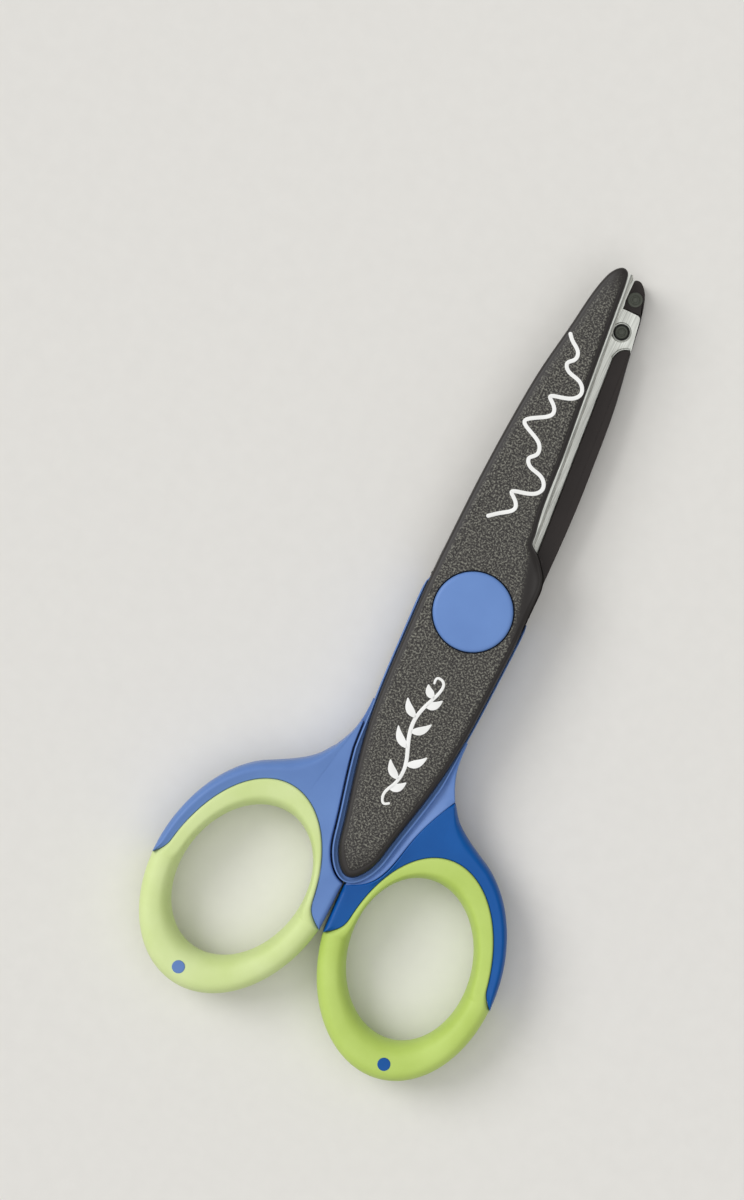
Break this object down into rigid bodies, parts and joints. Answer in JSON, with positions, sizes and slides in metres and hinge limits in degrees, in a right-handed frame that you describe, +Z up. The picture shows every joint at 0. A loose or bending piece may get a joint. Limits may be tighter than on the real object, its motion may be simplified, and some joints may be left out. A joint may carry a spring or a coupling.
{
  "type": "decorative edge scissors",
  "caption": "Craft scissors that cut a wavy decorative edge, with bent wavy blades in dark covers and two soft-grip finger loops.",
  "frame": {"origin": "on the pivot axis, in the plane of the back cover's outer face, which is the plane the scissors lie on", "axes": "+Y along the blades to the tips, +X across towards the front half's finger loop, +Z up along the pivot axis, out of the front cover"},
  "size_m": [0.074, 0.1661, 0.0132],
  "materials": {
    "royal_blue_plastic": "semi-gloss moulded ABS",
    "periwinkle_plastic": "semi-gloss moulded ABS",
    "lime_rubber": "soft-touch matt elastomer",
    "pale_lime_rubber": "soft-touch matt elastomer",
    "charcoal_textured_plastic": "fine spark-eroded texture inside a smooth border",
    "blade_steel": "rolled sheet, lightly brushed",
    "white_acetal": "smooth",
    "white_ink": "pad-printed ink"
  },
  "bodies": {
    "back_half": {"back_handle": "periwinkle_plastic", "back_grip": "pale_lime_rubber", "back_collar": "periwinkle_plastic", "back_blade_cover": "charcoal_textured_plastic", "back_blade": "blade_steel", "back_pivot_ring": "periwinkle_plastic", "pivot_screw": "blade_steel", "glide_washer": "white_acetal", "spring_washer": "blade_steel", "pivot_nut": "blade_steel"},
    "front_half": {"front_handle": "royal_blue_plastic", "front_grip": "lime_rubber", "front_collar": "periwinkle_plastic", "front_blade_cover": "charcoal_textured_plastic", "front_blade": "blade_steel", "pivot_cap": "periwinkle_plastic", "edge_pattern_print": "white_ink", "sprig_print": "white_ink"}
  },
  "joints": [
    {"name": "pivot", "type": "hinge", "parent": "back_half", "child": "front_half", "pos_m": [0, 0, 0.0065], "axis": [0, 0, 1], "range_deg": [0, 55]}
  ]
}
